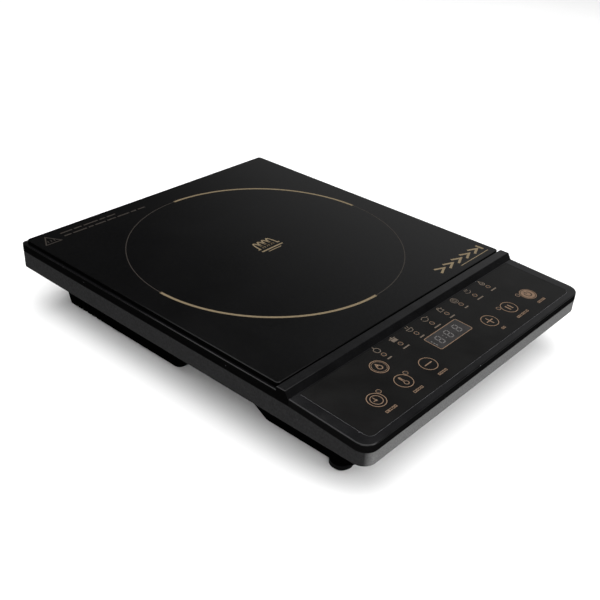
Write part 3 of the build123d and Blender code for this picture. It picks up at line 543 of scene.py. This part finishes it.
def corner_ornament():
    """A row of chevrons that ends at a short upright bar, over a thin rule."""
    first, pitch, count = 72.5, 12.6, 5
    level, half, reach = -129.0, 3.9, 4.6
    marks = []
    for i in range(count):
        x = first + pitch * i
        chevron = [(x - reach, level + half), (x + reach, level), (x - reach, level - half)]
        marks.append(line(chevron, 2.1))
    marks.append(bar(131.5, level, 2.4, 2 * half))
    marks.append(bar(112, -136.8, 42, 0.8))
    draw("corner_ornament", marks, GLASS, "gold")


def dashes(x, y, lengths, height, gap):
    """A line of plain dashes in place of small print."""
    marks = []
    for length in lengths:
        marks.append(bar(x + length / 2, y, length, height))
        x += length + gap
    return marks


def hot_surface_mark():
    """A triangle with three heat waves and two lines of dashes beside it."""
    left, right, foot, tip = -134.5, -119.5, 122.5, 135.5
    centre = (left + right) / 2
    marks = [line([(left, foot), (right, foot), (centre, tip)], 1.1, closed=True)]
    for x in (centre - 3, centre, centre + 3):
        bend = [(x, 124.6), (x - 0.6, 125.9), (x + 0.6, 127.3), (x, 128.6)]
        marks.append(line(bend, 0.6))
    start, height, gap = -113.5, 1.7, 2.0
    marks += dashes(start, 133.0, (12, 8, 15, 6, 9), height, gap)
    marks += dashes(start, 127.0, (7, 14, 5, 11, 9, 13, 6, 8), height, gap)
    draw("hot_surface_mark", marks, GLASS, "tan")


# ---- marks on the panel -------------------------------------------------------------------
KEY_RING = 6.9
KEY_LINE = 0.62
KEY_DISC = 7.15


def timer_sign():
    return [ring(0, 0, 4.5, 0.6), disc(-0.3, 0, 0.95), bar(-0.3, 1.9, 0.6, 3.0), bar(-1.9, 0, 2.6, 0.6)]


def warm_sign():
    bulb = arc_points(0, -2.4, 1.8, 112, 428)
    outline = [(-0.68, 4.2)] + bulb + [(0.68, 4.2)]
    return [line(outline, 0.55), bar(0, 3.0, 1.5, 3.4)]


def function_sign():
    drop = [(0, 3.6)] + arc_points(0, -0.6, 2.1, 28, -208)
    return [ring(0, 0, 5.7, 0.35), line(drop, 0.75, closed=True), disc(0, 1.4, 0.75)]


def minus_sign():
    return [bar(0, 0, 8.2, 0.95)]


def plus_sign():
    arm, half = 4.0, 0.48
    corners = [(-arm, -half), (-half, -half), (-half, -arm), (half, -arm), (half, -half),
               (arm, -half), (arm, half), (half, half), (half, arm), (-half, arm),
               (-half, half), (-arm, half)]
    return [plate(corners)]


def pause_sign():
    return [bar(-1.7, 0, 1.3, 5.6), bar(1.7, 0, 1.3, 5.6)]


def power_sign():
    return [ring(0, 0, 6.2, 0.7), arc(0, 0, 3.0, 125, 415, 1.0), bar(0, 2.6, 1.0, 3.6)]


KEY_SIGNS = {
    "timer": (timer_sign, (2.0, 1.0, 2.4, 1.9, 1.8)),
    "warm": (warm_sign, (2.4, 1.9, 1.9, 2.3)),
    "function": (function_sign, ()),
    "down": (minus_sign, (1.9, 1.9, 2.6, 1.9)),
    "up": (plus_sign, (1.8, 1.8)),
    "pause": (pause_sign, (1.8, 1.8, 1.8, 1.6, 1.9, 1.9, 1.9)),
    "power": (power_sign, (1.8, 1.8, 1.4, 1.6, 1.6)),
}
LABEL_DROP = 12.3           # label below the middle of its key
LABEL_HEIGHT = 2.1
LABEL_GAP = 0.5


def label(x, y, widths):
    """A row of small frames and pairs of dashes, in place of a word."""
    left = x - (sum(widths) + LABEL_GAP * (len(widths) - 1)) / 2
    half_h = LABEL_HEIGHT / 2 - 0.2
    marks = []
    for i, width in enumerate(widths):
        centre, half_w = left + width / 2, width / 2 - 0.2
        if i % 3 == 2:
            marks += [bar(centre, y - 0.7, width, 0.6), bar(centre, y + 0.7, width, 0.6)]
        else:
            corners = [(centre - half_w, y - half_h), (centre + half_w, y - half_h),
                       (centre + half_w, y + half_h), (centre - half_w, y + half_h)]
            marks.append(line(corners, 0.5, closed=True))
        left += width + LABEL_GAP
    return marks


def key_marks():
    """Ring, sign and a short row of blank tabs for each key; the power key has a solid disc."""
    on_ink = Matrix.Translation(PANEL.to_3x3() @ Vector((0, 0, INK_HEIGHT))) @ PANEL
    for name, (sign, tabs) in KEY_SIGNS.items():
        x, y = on_panel(middle(f"key_{name}"))
        body = f"{name}_button"
        if name == "power":
            rim, place, ink = disc(0, 0, KEY_DISC), on_ink, "dark"
        else:
            rim, place, ink = ring(0, 0, KEY_RING, KEY_LINE), PANEL, "copper"
        draw(f"{name}_rim", shifted([rim], x, y), PANEL, "copper", body)
        draw(f"{name}_sign", shifted(sign(), x, y), place, ink, body)
        if tabs:
            draw(f"{name}_label", label(x, y - LABEL_DROP, tabs), PANEL, "copper")


def steam(x, y):
    return line([(x, y), (x - 0.5, y + 0.8), (x + 0.5, y + 1.6), (x, y + 2.4)], 0.4)


def pan_icon():
    return [ring(0, -0.2, 2.6, 0.6), bar(0, 3.6, 0.8, 2.4)]


def pot_icon():
    return [bar(0, -0.8, 5.4, 3.2), bar(0, 1.6, 6.8, 0.7), disc(0, 2.6, 0.8)]


def bowl_icon():
    return [arc(0, 0.6, 3.0, 180, 360, 0.55), bar(0, 0.7, 7.2, 0.55), steam(-1.2, 1.8), steam(1.2, 1.8)]


def wok_icon():
    return [arc(0, 1.2, 3.4, 200, 340, 0.55), arc(0, -0.6, 3.4, 30, 150, 0.5), bar(3.9, 1.2, 1.8, 0.6)]


def kettle_icon():
    return [line([(-2.4, -2.2), (2.4, -2.2), (1.7, 1.4), (-1.7, 1.4)], 0.55, closed=True),
            arc(0, 1.4, 1.5, 0, 180, 0.5), line([(2.2, 0.2), (3.5, 1.6)], 0.6)]


def hotpot_icon():
    return [ring(0, 0, 3.2, 0.5), ring(0, 0, 1.8, 0.45), bar(0, 0, 0.4, 3.4)]


def grill_icon():
    return [arc(0, 2.0, 3.6, 205, 335, 0.5), steam(-1.4, 1.2), steam(0.2, 1.2), steam(1.8, 1.2)]


def flame_icon():
    drop = [(0.4, 3.4)] + arc_points(0, -0.7, 2.0, 30, -200)
    return [line(drop, 0.8, closed=True), disc(0, -0.8, 0.8)]


PROGRAM_ICONS = (pan_icon, pot_icon, bowl_icon, wok_icon, kettle_icon, hotpot_icon, grill_icon,
                 flame_icon)
PROGRAM_DASHES = (4.8, 7.4, 5.2, 8.0, 6.4, 4.6, 8.2, 7.0)
ICON_RISE = 6.4             # icon above its lamp, dash below it
DASH_DROP = 5.2
LENS_RING = 1.85
LENS_LINE = 0.42


def program_row():
    """Icon, lamp ring and dash for each program, and a lamp ring beside four of the keys."""
    lenses = lens_places()
    rear = max(lens[1] for lens in lenses)
    programs = [lens for lens in lenses if lens[1] > rear - 1.0]
    icons, rules = [], []
    for (x, y), icon, length in zip(programs, PROGRAM_ICONS, PROGRAM_DASHES):
        icons += shifted(icon(), x, y + ICON_RISE)
        rules.append(bar(x, y - DASH_DROP, length, 1.15))
    rings = [ring(x, y, LENS_RING, LENS_LINE) for x, y in lenses]
    draw("lamp_rings", rings, PANEL, "copper")
    draw("program_icons", icons, PANEL, "icon")
    draw("program_dashes", rules, PANEL, "icon")


DIGIT_PITCH = 11.3


def digit(x, y):
    """The seven unlit bars of one slanted digit."""
    wide, tall, stroke, lean = 4.4, 8.0, 0.85, 0.10
    half = tall / 4
    marks = []
    for level in (-2, 0, 2):
        marks.append(bar(lean * half * level, half * level, wide - stroke, stroke * 0.95))
    for side in (-1, 1):
        for level in (-1, 1):
            place = side * wide / 2 + lean * half * level
            marks.append(bar(place, half * level, stroke, 2 * half - stroke * 1.15, lean * tall / 2))
    return shifted(marks, x, y)


def painted_film_highlight():
    """Painted highlight: a thin light line along the film's left and front edges, in place of light caught by its
    bevel.
    """
    low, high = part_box("control_film")
    left, rear = on_panel(Vector((low.x, high.y, high.z)))
    right, front = on_panel(Vector((high.x, low.y, low.z)))
    radius, gap = 5.0, 0.1
    path = [(left - gap, rear - 1.0)]
    path += arc_points(left + radius, front + radius, radius + gap, 180, 270)
    path += arc_points(right - radius, front + radius, radius + gap, 270, 330)
    draw("painted_film_highlight", [line(path, 0.32)], PANEL, "edge")


def display_marks():
    """Outline of the display window, three digits, a colon and three small indicators."""
    low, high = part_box("display_window")
    x, y = on_panel((low + high) / 2)
    width = (high.x - low.x) / MM
    depth = (high.y - low.y) / MM
    outline = round_frame(x, y, width + 0.6, depth + 0.6, 1.6, 0.6)
    draw("display_outline", [outline], PANEL, "copper")
    marks = []
    for step in (-1, 0, 1):
        marks += digit(x + DIGIT_PITCH * step, y)
    marks += [disc(x - 5.4, y - 1.6, 0.5), disc(x - 5.0, y + 1.8, 0.5)]
    for rise in (-2.4, 0.0, 2.4):
        marks.append(bar(x - width / 2 + 1.9, y + rise, 0.9, 1.5))
    draw("display_digits", marks, PANEL, "segment")


# ---- the scene ----------------------------------------------------------------------------
def make_floor():
    mesh = bmesh.new()
    bmesh.ops.create_grid(mesh, x_segments=8, y_segments=8, size=6.0)
    data = bpy.data.meshes.new("floor")
    mesh.to_mesh(data)
    mesh.free()
    floor = bpy.data.objects.new("floor", data)
    bpy.context.scene.collection.objects.link(floor)
    paper = Finish("floor_paper", (0.92, 0.92, 0.92), 0.8, 0.2).mottle(150, 0.01)
    data.materials.append(paper.material)


make_camera()
make_world()
make_lights()
make_floor()
dress_cad()
INKS = print_inks()
GLASS = glass_place()
PANEL = panel_place()
pan_ring()
coil_mark()
corner_ornament()
hot_surface_mark()
key_marks()
program_row()
painted_film_highlight()
display_marks()

bpy.context.scene.view_settings.view_transform = "Standard"
